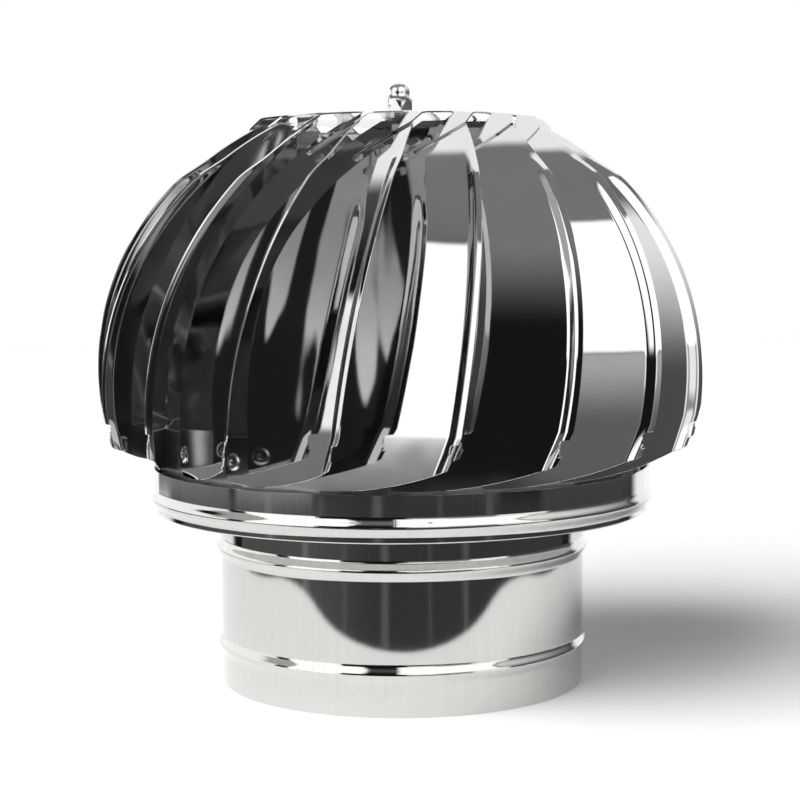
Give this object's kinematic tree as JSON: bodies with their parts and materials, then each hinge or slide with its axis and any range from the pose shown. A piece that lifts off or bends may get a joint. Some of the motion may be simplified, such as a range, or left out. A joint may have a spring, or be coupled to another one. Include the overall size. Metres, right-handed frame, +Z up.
{
  "type": "rotating chimney cowl",
  "caption": "Domed rotor of overlapping curved vanes on a beaded round flue spigot; wind or rising gas spins it on a central spindle to draw smoke out.",
  "frame": {"origin": "centre of the spigot's lower edge, on the spin axis", "axes": "+Z up along the spin axis, -Y towards the viewer of the picture, +X to the right"},
  "size_m": [0.3332, 0.329, 0.3269],
  "materials": {
    "polished_sheet": "bright annealed, mirror-like stainless sheet",
    "base_sheet": "bright rolled stainless sheet with faint drawing streaks",
    "structure_steel": "satin stainless bar and tube",
    "bearing_steel": "ground bearing steel",
    "fixings": "bright stainless fasteners"
  },
  "bodies": {
    "base": {"base_spigot": "base_sheet", "collar_pan": "base_sheet", "bearing_bridge": "structure_steel", "bearing_tube": "structure_steel", "lower_bearing_outer": "bearing_steel", "upper_bearing_outer": "bearing_steel", "bearing_circlips": "fixings"},
    "rotor": {"spindle": "structure_steel", "lower_bearing_inner": "bearing_steel", "upper_bearing_inner": "bearing_steel", "lower_sleeve": "fixings", "upper_sleeve": "fixings", "lock_nut": "fixings", "thrust_nut": "fixings", "crown_under_nut": "fixings", "crown_under_washer": "fixings", "crown_washer": "fixings", "cap_nut": "fixings", "crown_cap": "polished_sheet", "rotor_ring": "structure_steel", "vane_01": "polished_sheet", "vane_02": "polished_sheet", "vane_03": "polished_sheet", "vane_04": "polished_sheet", "vane_05": "polished_sheet", "vane_06": "polished_sheet", "vane_07": "polished_sheet", "vane_08": "polished_sheet", "vane_09": "polished_sheet", "vane_10": "polished_sheet", "vane_11": "polished_sheet", "vane_12": "polished_sheet", "vane_13": "polished_sheet", "vane_14": "polished_sheet", "vane_15": "polished_sheet", "vane_16": "polished_sheet", "vane_17": "polished_sheet", "vane_18": "polished_sheet", "crown_rivets": "fixings", "ring_rivets": "fixings"}
  },
  "joints": [
    {"name": "rotor_spin", "type": "hinge", "parent": "base", "child": "rotor", "pos_m": [0, 0, 0.2], "axis": [0, 0, 1], "continuous": true}
  ]
}
